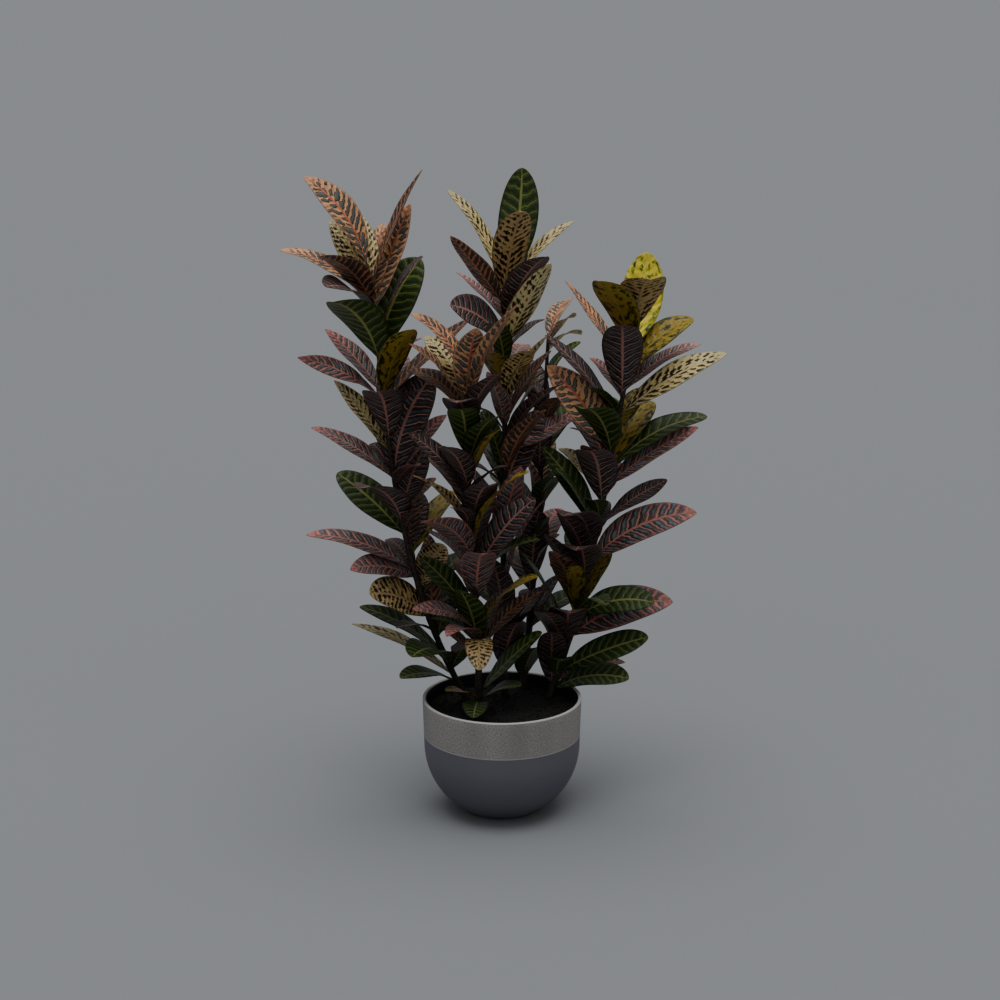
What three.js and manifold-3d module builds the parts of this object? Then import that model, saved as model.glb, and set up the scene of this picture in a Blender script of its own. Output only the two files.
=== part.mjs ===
// Potted croton: a two-tone ceramic bowl of soil with five leafy stems.
//
// Millimetres, +Z up. The origin is the centre of the pot's flat underside, +X is
// the viewer's right and -Y faces the viewer.
import * as THREE from 'three';
import { mergeVertices } from 'three/addons/utils/BufferGeometryUtils.js';
import Module from 'manifold-3d';

const wasm = await Module();
wasm.setup();

// ---------------------------------------------------------------- driving sizes

// Pot: a deep bowl with a nearly straight band above it.
const POT_HEIGHT = 206;
const RIM_RADIUS = 140;
const BOWL_TOP = 122;        // height where the bowl runs into the straight wall
const BOWL_RADIUS = 137.5;
const BOWL_DEPTH = 137;      // upright half axis of the bowl's elliptical section
const WALL = 6;
const RIM_ROUND = 2;
const POT_FLOOR = 9;
const POT_SIDES = 42;
const OUTER_STEPS = 8;       // rings of the pot's outer face
const INNER_STEPS = 6;
const RING_CROWDING = 1.4;   // over 1, it draws the rings toward the bowl's round foot

// Soil: it fills the pot to just under the rim, a little heaped in the middle.
const SOIL_LEVEL = 182;
const SOIL_HEAP = 4;
// Rings of the heaped top: share of the soil's radius, and share of the heap's height.
const HEAP_RINGS = [[0.7, 0.6], [0.35, 1], [0, 1]];
const SEAT_GAP = 0.3;        // play between soil and pot, and between stem and soil

// Stems.
const ROOT_LENGTH = 75;      // how deep a cutting stands in the soil
const STEM_FOOT_RADIUS = 7;
const STEM_TIP_RADIUS = 3.2;
const STEM_SIDES = 6;
const STEM_STEPS = 10;

// Leaf blades.
const BLADE_THICKNESS = 1.1;
const STALK_EXTRA = 1.4;     // how much thicker the stalk is at its foot
const STALK_SHARE = 0.07;
const STALK_HALF_WIDTH = 2.2;
const BLADE_BASE = 0.75;     // under 1, it makes the blade full from near its stalk
const BLADE_TAPER = 0.6;     // under 1, it keeps the blade broad until near its tip
const FOLD = 0.16;           // rise of the edge over the midrib, per unit of half width
const WAVE = 1.6;            // height of the edge's wave
const WAVES = 1.5;
const WAVE_SHIFT = 0.37;     // radians of the wave per millimetre of the foot's height
const TWIST_START = 0.3;     // share of the blade where a twist begins
const BLADE_STATIONS = [0, 0.14, 0.42, 0.72, 0.91, 1];
const INNER_STATIONS = [0, 0.22, 0.75, 1];
const FOLDED_STRIPS = 2;     // one each side of the midrib
const PLAIN_STRIPS = 1;      // an inner or hidden blade is flat across

// Share of the blade where the outline is widest, and what brings it to 1 there.
const BLADE_WIDEST = BLADE_BASE / (BLADE_BASE + BLADE_TAPER);
const BLADE_PEAK = 1 / (BLADE_WIDEST ** BLADE_BASE * (1 - BLADE_WIDEST) ** BLADE_TAPER);

// Blades of different stems keep this far apart, and swing aside where they must.
// The hidden leaves also keep the outer parts of their blades off their own stem's.
const CLEARANCE = 13;
const OWN_CLEARANCE = 9;
const OUTER_SHARE = 0.4;
const SWING_STEP = 7;
const SWINGS = 17;
const SAMPLES_ALONG = 14;
const SAMPLES_ACROSS = 5;
const STEM_SAMPLE_STEP = 10;
const RIM_CLEARANCE = 6;
const WELD_TOLERANCE = 1e-4;

// ---------------------------------------------------------------- the five stems

// Each axis is a cubic curve through four points, given as [x, y] at evenly spaced
// heights from the soil to the tip.
const STEMS = {
  left: { top: 962, axis: [[-61, 40], [-199, 32], [-192, 24], [-227, 20]] },
  middle: { top: 953, axis: [[5, 64], [-3, 60], [10, 50], [3, 45]] },
  front: { top: 745, axis: [[-41, 6], [-38, -20], [-60, -42], [-60, -58]] },
  right: { top: 857, axis: [[82, 50], [166, 50], [186, 46], [229, 40]] },
  back: { top: 820, axis: [[38, 104], [60, 125], [72, 140], [81, 140]] },
};

// The leaves that show clearly in the photograph. Each row holds
// [foot height on the stem, tip offset right, back and up, arch in degrees,
//  width, turn of the upper face to the viewer in degrees, twist in degrees].
const LEAVES = {
  left: [
    [960, -102, 0, 147, 48, 60, 40, 0],
    [912, -70, 38, 120, 35, 54, 40, 0],
    [912, -30, 70, 134, 50, 42, 0, 0],
    [898, -155, 15, 86, 50, 48, 18, 0],
    [890, -80, -90, 95, 60, 60, -15, 0],
    [872, -70, -110, 66, 60, 70, 20, 0],
    [796, -66, -110, 117, 60, 88, -10, 0],
    [800, 72, 30, 168, 42, 78, 50, 0],
    [835, 82, -60, 146, 30, 54, 36, 0],
    [880, 64, 20, 181, 12, 62, 30, 0],
    [918, 90, 0, 202, 16, 38, 16, 0],
    [900, 18, 60, 125, 40, 52, 0, 0],
    [733, 54, -90, 132, 40, 60, 0, 0],
    [740, -102, 60, 104, 20, 48, 6, 0],
    [728, -146, 0, 76, 36, 34, 10, 110],
    [637, -95, 0, 127, 15, 50, 25, 0],
    [656, -12, -135, 112, 70, 68, 0, 0],
    [590, -142, 0, 92, 30, 44, 22, 0],
    [590, -42, 60, 52, 40, 42, 10, 0],
    [488, -121, 40, 104, 20, 68, 30, 0],
    [502, -66, -120, 100, 70, 80, 0, 0],
    [424, -188, 0, 66, 42, 56, 15, 0],
    [411, -112, -50, 30, 50, 56, 30, 0],
    [416, -78, 80, 5, 40, 52, 5, 0],
    [337, -100, -70, 66, 50, 74, 45, 0],
    [262, -152, 0, 96, 35, 50, 14, 0],
    [228, -185, 40, 86, 30, 46, 0, 0],
    [245, -62, -120, 60, 70, 74, 10, 0],
    [210, -100, -90, 46, 50, 56, 5, 0],
    [728, 150, 60, 136, 12, 54, 4, 0],
    [587, 66, 25, 182, 45, 80, 50, 0],
  ],
  middle: [
    [926, 30, 30, 193, -25, 68, 35, 0],
    [902, 28, -90, 154, 40, 64, 0, 0],
    [919, -96, 0, 165, 35, 40, 28, 0],
    [890, -90, -50, 122, 5, 50, -20, 0],
    [878, 118, 20, 152, 50, 44, 14, 0],
    [852, 66, -110, 132, 45, 62, 0, 0],
    [815, 76, -50, 152, 10, 70, -12, 0],
    [862, -84, 90, 73, 30, 38, -13, 0],
    [822, -92, -40, 73, 50, 70, 45, 0],
    [775, -20, -100, 98, 60, 40, 0, 0],
    [729, -30, -100, 95, 50, 44, 0, 0],
    [762, 36, 95, 46, 50, 50, 0, 0],
    [724, 41, -100, 104, 40, 50, 0, 0],
    [716, 70, -40, 127, 12, 56, 5, 0],
    [638, 98, -70, 127, 45, 60, 0, 0],
    [588, 69, -80, 135, 45, 54, 0, 0],
    [549, 67, 30, 150, 35, 66, 40, 0],
    [630, 128, 30, 62, 15, 50, 22, 0],
  ],
  front: [
    [745, -90, -10, 146, 72, 50, 25, 0],
    [742, -78, 60, 100, 50, 58, 10, 0],
    [735, -92, 20, 106, 35, 50, 5, 0],
    [722, -104, 60, 64, 60, 52, 6, 0],
    [738, 18, -80, 140, 40, 54, 0, 0],
    [740, 94, -70, 176, 30, 50, 10, 0],
    [680, -14, -130, 84, 70, 62, 0, 0],
    [640, -10, -125, 112, 65, 54, 0, 0],
    [690, 55, -80, 113, 50, 52, 5, 0],
    [622, 46, -105, 112, 55, 50, 10, 0],
    [598, 56, -70, 112, 40, 40, 18, 0],
    [570, -104, 10, 115, 35, 48, 20, 0],
    [585, -46, -110, 100, 60, 54, 0, 0],
    [565, -72, 80, 64, 45, 50, 0, 0],
    [513, -95, -60, 112, 40, 46, -3, 0],
    [508, 34, -120, 114, 70, 56, 0, 0],
    [490, 94, -95, 148, 50, 46, 20, 0],
    [462, -85, -100, 92, 60, 56, -25, 0],
    [432, -95, 70, 69, 40, 46, -20, 0],
    [378, 14, -120, 124, 75, 62, 0, 0],
    [345, -98, 40, 106, 22, 56, 15, 0],
    [425, 105, 20, 140, 35, 58, 40, 0],
    [318, 102, -80, 132, 50, 44, 20, 0],
    [290, 110, 30, 100, 40, 46, 10, 0],
    [330, -110, -60, 56, 50, 46, 20, 0],
    [300, -51, -105, 52, 80, 46, 0, 0],
    [300, 4, -110, -6, 110, 48, 0, 0],
    [208, 110, -30, 124, 15, 52, 28, 0],
    [194, -74, -20, 38, 40, 38, 0, 0],
    [192, 74, -50, 48, 40, 46, 10, 0],
    [192, -8, -112, 12, 40, 46, 0, 0],
  ],
  right: [
    [815, 29, 80, 157, -30, 72, 20, 0],
    [845, 14, -130, 105, 70, 76, 0, 0],
    [813, -63, -110, 132, 45, 70, 0, 0],
    [727, -9, -115, 145, 55, 70, 0, 0],
    [775, -107, 20, 155, 12, 40, 10, 0],
    [765, 116, 30, 98, 48, 56, 27, 0],
    [741, 137, 60, 74, 40, 40, 12, 0],
    [699, 181, -20, 112, 25, 60, 33, 0],
    [628, -58, -125, 107, 65, 72, 0, 0],
    [635, -114, -20, 148, 25, 66, 60, 0],
    [688, -126, 20, 148, 24, 44, 15, 0],
    [607, 80, 80, 102, 40, 60, 10, 0],
    [600, 172, 30, 92, 48, 58, 20, 0],
    [571, 159, 0, 108, 20, 47, 32, 0],
    [536, -30, -125, 127, 70, 70, 0, 0],
    [500, 124, 40, 76, 22, 32, 5, 100],
    [436, 186, 0, 90, 50, 66, 46, 0],
    [457, -55, -130, 95, 75, 72, 0, 0],
    [402, -22, -135, 92, 75, 70, 0, 0],
    [341, -48, -90, 140, 45, 56, 0, 0],
    [332, -5, -110, 128, 50, 36, 0, 0],
    [350, 140, 30, 24, 25, 32, 0, 90],
    [295, 183, 0, 68, 55, 74, 50, 0],
    [332, 136, -40, 42, 55, 58, 40, 0],
    [340, 46, -110, 50, 70, 50, 0, 0],
    [276, 2, -130, 106, 75, 68, 0, 0],
    [232, 158, -30, 76, 18, 60, 38, 0],
    [215, 130, 60, 16, 45, 46, 10, 0],
    [198, 136, -40, 36, 50, 62, 24, 0],
    [222, 8, -90, 62, 60, 50, 0, 0],
    [267, -74, -70, 105, 50, 54, 0, 0],
    [295, -92, -20, 171, 20, 46, 5, 0],
    [487, -98, 10, 153, 30, 50, 33, 0],
    [559, -77, 80, 65, 50, 50, 0, 0],
  ],
  back: [
    [815, 44, 100, 59, 70, 42, -20, 0],
    [805, 50, 110, 36, 55, 38, -25, 0],
    [795, 64, 100, 16, 55, 38, -20, 0],
    [505, 30, -70, 82, 60, 46, 0, 0],
  ],
};

// The leaves that show only between those, deep among the stems.
const INNER_LEAVES = {
  left: [
    [590, 90, 20, 110, 30, 50, 20, 0],
    [470, 30, 80, 110, 20, 42, 40, 0],
    [460, 60, 60, 90, 30, 50, 30, 0],
    [450, 100, 100, 90, 40, 40, 10, 0],
    [320, -10, 80, 150, 40, 50, 30, 0],
    [300, 30, 60, 80, 30, 44, 10, 0],
    [520, 40, 40, 120, 30, 52, 30, 0],
    [390, 50, 40, 70, 30, 56, 20, 0],
  ],
  middle: [
    [580, -40, 30, 120, 30, 46, 0, 0],
    [500, -30, -10, 140, 30, 48, 0, 0],
    [640, 60, -30, 130, 25, 50, 20, 0],
    [680, 80, 10, 130, 25, 46, 10, 0],
    [670, -30, -30, 110, 30, 44, 0, 0],
    [360, 70, -20, 190, 35, 54, 0, 0],
    [290, -20, -40, 160, 35, 54, 0, 0],
    [240, 40, -30, 130, 40, 50, 0, 0],
    [470, -70, 20, 140, 30, 50, 0, 0],
    [270, 80, 20, 110, 35, 54, 0, 0],
    [440, 30, -60, 180, 40, 54, 0, 0],
    [230, -20, -60, 110, 50, 60, 0, 0],
  ],
  front: [
    [580, -50, 20, 80, 30, 50, 0, 0],
    [290, 50, 20, 110, 35, 52, 0, 0],
    [290, -30, -60, 130, 40, 56, 0, 0],
    [260, -60, 40, 70, 40, 36, 0, 0],
    [460, 40, 30, 130, 35, 52, 0, 0],
    [390, -40, 10, 100, 35, 50, 0, 0],
  ],
  right: [
    [470, -70, -20, 140, 40, 52, 20, 0],
    [350, -60, -50, 150, 40, 56, 0, 0],
    [350, 60, 40, 100, 20, 42, 10, 0],
    [250, -60, -30, 110, 60, 60, 0, 0],
    [200, -20, -70, 130, 50, 52, 0, 0],
    [410, -50, -60, 130, 50, 58, 0, 0],
    [550, 0, 50, 100, 30, 50, 0, 0],
    [550, -40, -60, 110, 50, 50, 0, 0],
    [670, 50, 40, 70, 30, 46, 10, 0],
  ],
  back: [
    [370, 10, -40, 150, 40, 56, 0, 0],
    [270, 60, 20, 120, 40, 50, 0, 0],
    [200, 20, -30, 70, 40, 52, 0, 0],
    [480, -20, -10, 130, 35, 48, 0, 0],
    [570, 10, 20, 140, 35, 50, 0, 0],
    [430, 30, 0, 140, 40, 50, 0, 0],
  ],
};

// Leaves that the photograph hides fill each stem out behind. Their places follow the
// golden angle: [how many, lowest foot, highest foot, length, degrees they face].
const FILL = {
  left: [3, 300, 780, 150, 65],
  middle: [3, 340, 800, 150, 90],
  front: [1, 300, 560, 130, 90],
  right: [2, 300, 700, 150, 115],
  back: [7, 260, 700, 150, 90],
};
const FILL_WIDTH = 56;
const FILL_ARCH = 50;
const FILL_SPREAD = 110;     // degrees of azimuth that the hidden leaves cover
const FILL_RISE_LOW = 12;    // chord's rise in degrees at the soil and at the tip
const FILL_RISE_HIGH = 52;
const GOLDEN_SHARE = (Math.sqrt(5) - 1) / 2;

// ---------------------------------------------------------------- colours

const CERAMIC = new THREE.MeshStandardMaterial({ color: 0x6f7076, roughness: 0.5, metalness: 0 });
const SOIL = new THREE.MeshStandardMaterial({ color: 0x1b1612, roughness: 0.95, metalness: 0 });
const FOLIAGE = {
  left: 0x6b5a3a,
  middle: 0x5b4a34,
  front: 0x4c4a34,
  right: 0x4f5a30,
  back: 0x3d4a2a,
};

// ---------------------------------------------------------------- small tools

const radians = THREE.MathUtils.degToRad;

// A closed body of a geometry, without the triangles that its poles and tips close up.
function solid(geometry) {
  const bare = geometry.clone();
  bare.deleteAttribute('normal');
  bare.deleteAttribute('uv');
  const merged = mergeVertices(bare, WELD_TOLERANCE);
  const corners = merged.index.array;
  const kept = [];
  for (let i = 0; i < corners.length; i += 3) {
    const triangle = corners.slice(i, i + 3);
    if (new Set(triangle).size === 3) {
      kept.push(...triangle);
    }
  }
  return new wasm.Manifold(new wasm.Mesh({
    numProp: 3,
    vertProperties: Float32Array.from(merged.attributes.position.array),
    triVerts: Uint32Array.from(kept),
  }));
}

// The largest closed shell of a body, which fills the hollows sealed between crossing
// blades and drops loose scraps.
function largestShell(body) {
  return body.decompose().reduce((best, shell) => (shell.volume() > best.volume() ? shell : best));
}

function geometryOf(body) {
  const mesh = body.getMesh();
  const geometry = new THREE.BufferGeometry();
  geometry.setAttribute('position', new THREE.BufferAttribute(mesh.vertProperties, 3));
  geometry.setIndex(new THREE.BufferAttribute(mesh.triVerts, 1));
  geometry.computeVertexNormals();
  return geometry;
}

function named(name, geometry, material) {
  const mesh = new THREE.Mesh(geometry, material);
  mesh.name = name;
  return mesh;
}

// A closed profile of [radius, height] points turned about Z.
function lathe(points, sides) {
  const profile = points.map(([radius, height]) => new THREE.Vector2(radius, height));
  return new THREE.LatheGeometry(profile, sides).rotateX(Math.PI / 2);
}

// Splits the squares of a box's lower face along the same diagonals as the upper one's.
function splitAlike(box) {
  const { start, count } = box.groups[box.groups.length - 1];
  for (let i = start; i < start + count; i += 6) {
    const [a, b, d, , c] = box.index.array.slice(i, i + 6);
    box.index.array.set([a, b, c, a, c, d], i);
  }
}

// ---------------------------------------------------------------- pot and soil

// Outer radius of the pot at a height.
function potRadius(z) {
  if (z >= BOWL_TOP) {
    return BOWL_RADIUS + (RIM_RADIUS - BOWL_RADIUS) * (z - BOWL_TOP) / (POT_HEIGHT - BOWL_TOP);
  }
  return BOWL_RADIUS * Math.sqrt(1 - ((BOWL_TOP - z) / BOWL_DEPTH) ** 2);
}

// Points of the pot's section, `inset` inside its outer face, from one height up to
// another; they lie closer where the bowl is rounder.
function potSection(inset, from, to, steps) {
  const points = [];
  for (let i = 0; i <= steps; i += 1) {
    const z = from + (to - from) * (i / steps) ** RING_CROWDING;
    points.push([potRadius(z) - inset, z]);
  }
  return points;
}

// Rings of the pot's inner face, from its floor to just under the rim.
function innerRings() {
  return potSection(WALL, POT_FLOOR, POT_HEIGHT - RIM_ROUND, INNER_STEPS);
}

function potGeometry() {
  const outside = potSection(0, 0, POT_HEIGHT - RIM_ROUND, OUTER_STEPS);
  const rim = [
    [RIM_RADIUS - RIM_ROUND / 2, POT_HEIGHT - RIM_ROUND / 4],
    [RIM_RADIUS - WALL / 2, POT_HEIGHT],
    [RIM_RADIUS - WALL + RIM_ROUND / 2, POT_HEIGHT - RIM_ROUND / 4],
  ];
  const inside = innerRings().reverse();
  return lathe([[0, 0], ...outside, ...rim, ...inside, [0, POT_FLOOR]], POT_SIDES);
}

// The soil's side follows the pot's inner rings, so that the two stay evenly apart.
function soilBody() {
  const rings = innerRings();
  const above = rings.findIndex(([, z]) => z > SOIL_LEVEL);
  const [[lowRadius, lowZ], [highRadius, highZ]] = rings.slice(above - 1, above + 1);
  const share = (SOIL_LEVEL - lowZ) / (highZ - lowZ);
  const play = 2 * SEAT_GAP;
  const edge = lowRadius + (highRadius - lowRadius) * share - play;
  const foot = [rings[0][0] - play, POT_FLOOR + SEAT_GAP];
  const side = rings.slice(1, above).map(([radius, z]) => [radius - play, z]);
  const heap = HEAP_RINGS.map(([out, up]) => [edge * out, SOIL_LEVEL + SOIL_HEAP * up]);
  const profile = [[0, foot[1]], foot, ...side, [edge, SOIL_LEVEL], ...heap];
  return solid(lathe(profile, POT_SIDES));
}

// ---------------------------------------------------------------- stems

class Stem {
  constructor({ top, axis }) {
    this.top = top;
    this.axis = axis;
  }

  // Point on the stem's axis at height z; under the soil it runs straight down.
  at(z) {
    const t = THREE.MathUtils.clamp((z - SOIL_LEVEL) / (this.top - SOIL_LEVEL), 0, 1);
    const s = 1 - t;
    const weights = [s * s * s, 3 * s * s * t, 3 * s * t * t, t * t * t];
    const place = (k) => this.axis.reduce((sum, point, i) => sum + weights[i] * point[k], 0);
    return new THREE.Vector3(place(0), place(1), z);
  }

  // The stem, or with `play` the hole that it stands in.
  body(play = 0) {
    const foot = SOIL_LEVEL - ROOT_LENGTH - play;
    const height = this.top - foot;
    const bent = new THREE.CylinderGeometry(
      STEM_TIP_RADIUS + play, STEM_FOOT_RADIUS + play, height, STEM_SIDES, STEM_STEPS,
    );
    bent.rotateX(Math.PI / 2);
    const position = bent.attributes.position;
    for (let i = 0; i < position.count; i += 1) {
      const z = foot + height / 2 + position.getZ(i);
      const centre = this.at(z);
      position.setXYZ(i, centre.x + position.getX(i), centre.y + position.getY(i), z);
    }
    return solid(bent);
  }
}

// ---------------------------------------------------------------- leaf blades

class Leaf {
  constructor(stem, [height, right, back, up, arch, width, turn, twist], stations, strips) {
    this.stations = stations;
    this.strips = strips;
    this.foot = stem.at(height);
    this.reach = Math.hypot(right, back);
    this.azimuth = Math.atan2(back, right);
    this.rise = Math.atan2(up, this.reach);
    this.arch = radians(arch);
    this.length = Math.hypot(this.reach, up) * (this.arch / 2) / Math.sin(this.arch / 2);
    this.halfWidth = width / 2;
    this.turn = radians(right < 0 ? -turn : turn);
    this.twist = radians(right < 0 ? -twist : twist);
    this.phase = height * WAVE_SHIFT;
    this.swing = 0;
  }

  // Half width of the blade at share u of the leaf's length: 0 at its root and its tip.
  half(u) {
    const s = Math.max(0, (u - STALK_SHARE) / (1 - STALK_SHARE));
    const blade = this.halfWidth * BLADE_PEAK * s ** BLADE_BASE * (1 - s) ** BLADE_TAPER;
    return u > 0 && u < 0.5 ? Math.max(blade, STALK_HALF_WIDTH) : blade;
  }

  // Point at share u along the midrib and v across, from -1 to 1, raised by `lift`.
  at(u, v, lift = 0) {
    const start = this.rise + this.arch / 2;
    const now = start - this.arch * u;
    const radius = this.length / this.arch;
    const out = radius * (Math.sin(start) - Math.sin(now));
    const rise = radius * (Math.cos(now) - Math.cos(start));
    const heading = this.azimuth + this.swing;
    const [cosH, sinH] = [Math.cos(heading), Math.sin(heading)];
    const roll = this.turn + this.twist * Math.max(0, (u - TWIST_START) / (1 - TWIST_START));
    const [cosR, sinR] = [Math.cos(roll), Math.sin(roll)];
    const side = [-sinH, cosH, 0];
    const normal = [-Math.sin(now) * cosH, -Math.sin(now) * sinH, Math.cos(now)];
    const half = this.half(u);
    const wave = WAVE * Math.sin(2 * Math.PI * WAVES * u + this.phase + v) * half / this.halfWidth;
    const across = v * half;
    const above = lift + Math.abs(v) * (FOLD * half + wave);
    const along = across * cosR - above * sinR;
    const over = across * sinR + above * cosR;
    return new THREE.Vector3(
      this.foot.x + out * cosH + side[0] * along + normal[0] * over,
      this.foot.y + out * sinH + side[1] * along + normal[1] * over,
      this.foot.z + rise + normal[2] * over,
    );
  }

  // The points that tell whether the blade is clear of others.
  samples(owner) {
    const points = [];
    for (let i = 1; i <= SAMPLES_ALONG; i += 1) {
      const u = i / SAMPLES_ALONG;
      for (let j = 0; j < SAMPLES_ACROSS; j += 1) {
        const { x, y, z } = this.at(u, 2 * j / (SAMPLES_ACROSS - 1) - 1);
        points.push({ x, y, z, owner, outer: u > OUTER_SHARE });
      }
    }
    return points;
  }

  // A closed blade: two alike grids, upper and lower, joined all round, and folded along
  // the midrib where it has two strips. Its root, sunk in the stem, and its tip close to
  // upright edges.
  body() {
    const spans = this.stations.length - 1;
    const grid = new THREE.BoxGeometry(1, 2, 1, spans, this.strips, 1);
    splitAlike(grid);
    const position = grid.attributes.position;
    for (let i = 0; i < position.count; i += 1) {
      const u = this.stations[Math.round((position.getX(i) + 0.5) * spans)];
      const stalk = Math.max(0, 1 - u / (2 * STALK_SHARE));
      const thickness = BLADE_THICKNESS + STALK_EXTRA * stalk;
      const point = this.at(u, position.getY(i), position.getZ(i) * thickness);
      position.setXYZ(i, point.x, point.y, point.z);
    }
    return solid(grid);
  }
}

// Hidden leaves of one stem, spread by the golden angle about the way that they face.
function fillRows(stem, [count, low, high, length, facing]) {
  const rows = [];
  for (let i = 0; i < count; i += 1) {
    const share = (i + 0.5) / count;
    const height = low + (high - low) * share;
    const across = (i * GOLDEN_SHARE) % 1 - 0.5;
    const azimuth = radians(facing + FILL_SPREAD * across);
    const climb = (height - SOIL_LEVEL) / (stem.top - SOIL_LEVEL);
    const rise = radians(FILL_RISE_LOW + (FILL_RISE_HIGH - FILL_RISE_LOW) * climb);
    const reach = length * Math.cos(rise);
    rows.push([
      height, reach * Math.cos(azimuth), reach * Math.sin(azimuth), length * Math.sin(rise),
      FILL_ARCH, FILL_WIDTH, 0, 0,
    ]);
  }
  return rows;
}

// ---------------------------------------------------------------- setting the leaves clear

// True where a blade's point keeps above the soil and the pot's rim.
function isAbovePot({ x, y, z }) {
  const radius = Math.hypot(x, y);
  if (radius < RIM_RADIUS - WALL - RIM_CLEARANCE) {
    return z > SOIL_LEVEL + RIM_CLEARANCE;
  }
  return radius > RIM_RADIUS + RIM_CLEARANCE || z > POT_HEIGHT + RIM_CLEARANCE / 2;
}

// How near two points may lie: 0 where they belong to blades that may touch.
function clearance(point, other, spaced) {
  if (other.owner !== point.owner) {
    return CLEARANCE;
  }
  return spaced && point.outer && other.outer ? OWN_CLEARANCE : 0;
}

// True where a blade's points keep clear of all that is already in place.
function isClear(points, taken, spaced) {
  return points.every((point) => isAbovePot(point) && taken.every((other) => {
    const [dx, dy, dz] = [point.x - other.x, point.y - other.y, point.z - other.z];
    return dx * dx + dy * dy + dz * dz >= clearance(point, other, spaced) ** 2;
  }));
}

// Every leaf to be placed, as [stem, leaf, spaced], with the plainest seen first. Spaced
// leaves keep the outer parts of their blades apart from their own stem's.
function allLeaves(stems) {
  const all = [];
  const addRows = (owner, rows, stations, strips, spaced) => {
    rows.forEach((row) => all.push([owner, new Leaf(stems[owner], row, stations, strips), spaced]));
  };
  for (const [owner, rows] of Object.entries(LEAVES)) {
    addRows(owner, rows, BLADE_STATIONS, FOLDED_STRIPS, false);
  }
  for (const [owner, rows] of Object.entries(INNER_LEAVES)) {
    addRows(owner, rows, INNER_STATIONS, PLAIN_STRIPS, false);
  }
  for (const [owner, plan] of Object.entries(FILL)) {
    addRows(owner, fillRows(stems[owner], plan), INNER_STATIONS, PLAIN_STRIPS, true);
  }
  return all;
}

// Swings each leaf about its stem, by growing steps to either side, until it is clear.
// A leaf that stays in the way is left out.
function settle(stems) {
  const taken = [];
  for (const [owner, stem] of Object.entries(stems)) {
    for (let z = SOIL_LEVEL; z <= stem.top; z += STEM_SAMPLE_STEP) {
      taken.push({ owner, outer: false, ...stem.at(z) });
    }
  }
  const leaves = Object.fromEntries(Object.keys(stems).map((owner) => [owner, []]));
  for (const [owner, leaf, spaced] of allLeaves(stems)) {
    for (let i = 0; i < SWINGS; i += 1) {
      leaf.swing = radians((i % 2 ? 1 : -1) * SWING_STEP * Math.ceil(i / 2));
      const points = leaf.samples(owner);
      if (isClear(points, taken, spaced)) {
        taken.push(...points);
        leaves[owner].push(leaf);
        break;
      }
    }
  }
  return leaves;
}

// ---------------------------------------------------------------- the part

const stems = Object.fromEntries(
  Object.entries(STEMS).map(([name, plan]) => [name, new Stem(plan)]),
);
const leaves = settle(stems);

let soil = soilBody();
const croton = new THREE.Group();
croton.add(named('pot', potGeometry(), CERAMIC));
for (const [name, stem] of Object.entries(stems)) {
  soil = soil.subtract(stem.body(SEAT_GAP));
  let plant = stem.body();
  for (const leaf of leaves[name]) {
    plant = plant.add(leaf.body());
  }
  const finish = { color: FOLIAGE[name], roughness: 0.5, metalness: 0 };
  const material = new THREE.MeshStandardMaterial(finish);
  croton.add(named(`leafy_stem_${name}`, geometryOf(largestShell(plant)), material));
}
croton.add(named('soil', geometryOf(soil), SOIL));

export default croton;
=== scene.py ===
"""Potted croton: a two-tone ceramic bowl of soil with five leafy stems.

Sizes are in millimetres in the frame of the solids: the origin is the centre of the
pot's underside, +Z is up, +X is the viewer's right and -Y faces the viewer. A mesh is
turned into metres when it is finished, and materials work in metres. Colours are
everyday screen ones, 0 to 255.
"""

from __future__ import annotations

import logging
import math
import random
from collections.abc import Callable, Sequence
from dataclasses import dataclass
from enum import Enum

import bmesh
import bpy
import numpy as np
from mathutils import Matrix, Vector, noise

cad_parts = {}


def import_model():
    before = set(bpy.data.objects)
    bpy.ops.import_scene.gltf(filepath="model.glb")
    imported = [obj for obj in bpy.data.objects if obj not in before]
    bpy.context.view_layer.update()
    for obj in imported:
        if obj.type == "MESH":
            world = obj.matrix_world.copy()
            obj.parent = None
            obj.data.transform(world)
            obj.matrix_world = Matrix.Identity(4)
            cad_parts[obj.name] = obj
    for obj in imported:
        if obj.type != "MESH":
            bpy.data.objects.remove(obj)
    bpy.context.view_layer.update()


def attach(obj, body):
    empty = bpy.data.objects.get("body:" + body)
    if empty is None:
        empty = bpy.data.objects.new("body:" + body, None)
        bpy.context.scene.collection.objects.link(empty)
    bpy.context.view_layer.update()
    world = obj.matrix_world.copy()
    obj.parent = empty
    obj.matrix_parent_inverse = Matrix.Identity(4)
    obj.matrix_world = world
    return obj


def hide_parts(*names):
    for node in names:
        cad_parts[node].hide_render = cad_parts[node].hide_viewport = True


LOG = logging.getLogger("croton")
METRES = 0.001
BLADE_MAP = "blade"
SEED_LAYER = "leaf_seed"
SOIL_LEVEL = 182.0
TINY = 0.001
SMOOTH = {"interpolation_type": "SMOOTHSTEP"}

Colour = tuple[float, float, float]
Socket = bpy.types.NodeSocket
Mesh = bmesh.types.BMesh
Material = bpy.types.Material
Array = np.ndarray
Profile = Sequence[tuple[float, float]]
Table = dict[str, Sequence[tuple]]


def linear(level: float) -> float:
    """Turns one channel of a screen colour into the linear level that shaders use."""
    share = level / 255
    return share / 12.92 if share <= 0.04045 else ((share + 0.055) / 1.055) ** 2.4


# ---------------- shader maths


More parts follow.
